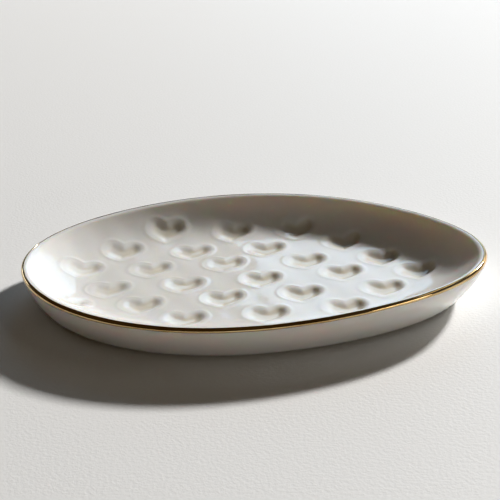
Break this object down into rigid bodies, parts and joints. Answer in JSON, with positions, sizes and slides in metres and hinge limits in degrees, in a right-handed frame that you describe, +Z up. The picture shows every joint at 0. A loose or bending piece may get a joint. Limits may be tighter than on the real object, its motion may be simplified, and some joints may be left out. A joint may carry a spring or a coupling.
{
  "type": "ring dish",
  "caption": "Small oval porcelain dish for rings, with a raised wall, rows of hearts pressed into the inside and a gold band on the lip.",
  "frame": {"origin": "centre of the oval's overall length and width, on the table under the foot", "axes": "+X along the long axis, towards the narrower end; +Y across the short axis, the way the hearts' lobes point; +Z up, out of the dish"},
  "size_m": [0.0998, 0.0698, 0.0094],
  "materials": {
    "porcelain": "gloss",
    "gold_lustre": "polished"
  },
  "bodies": {
    "root": {"dish_body": "porcelain", "gold_rim": "gold_lustre"}
  },
  "joints": []
}
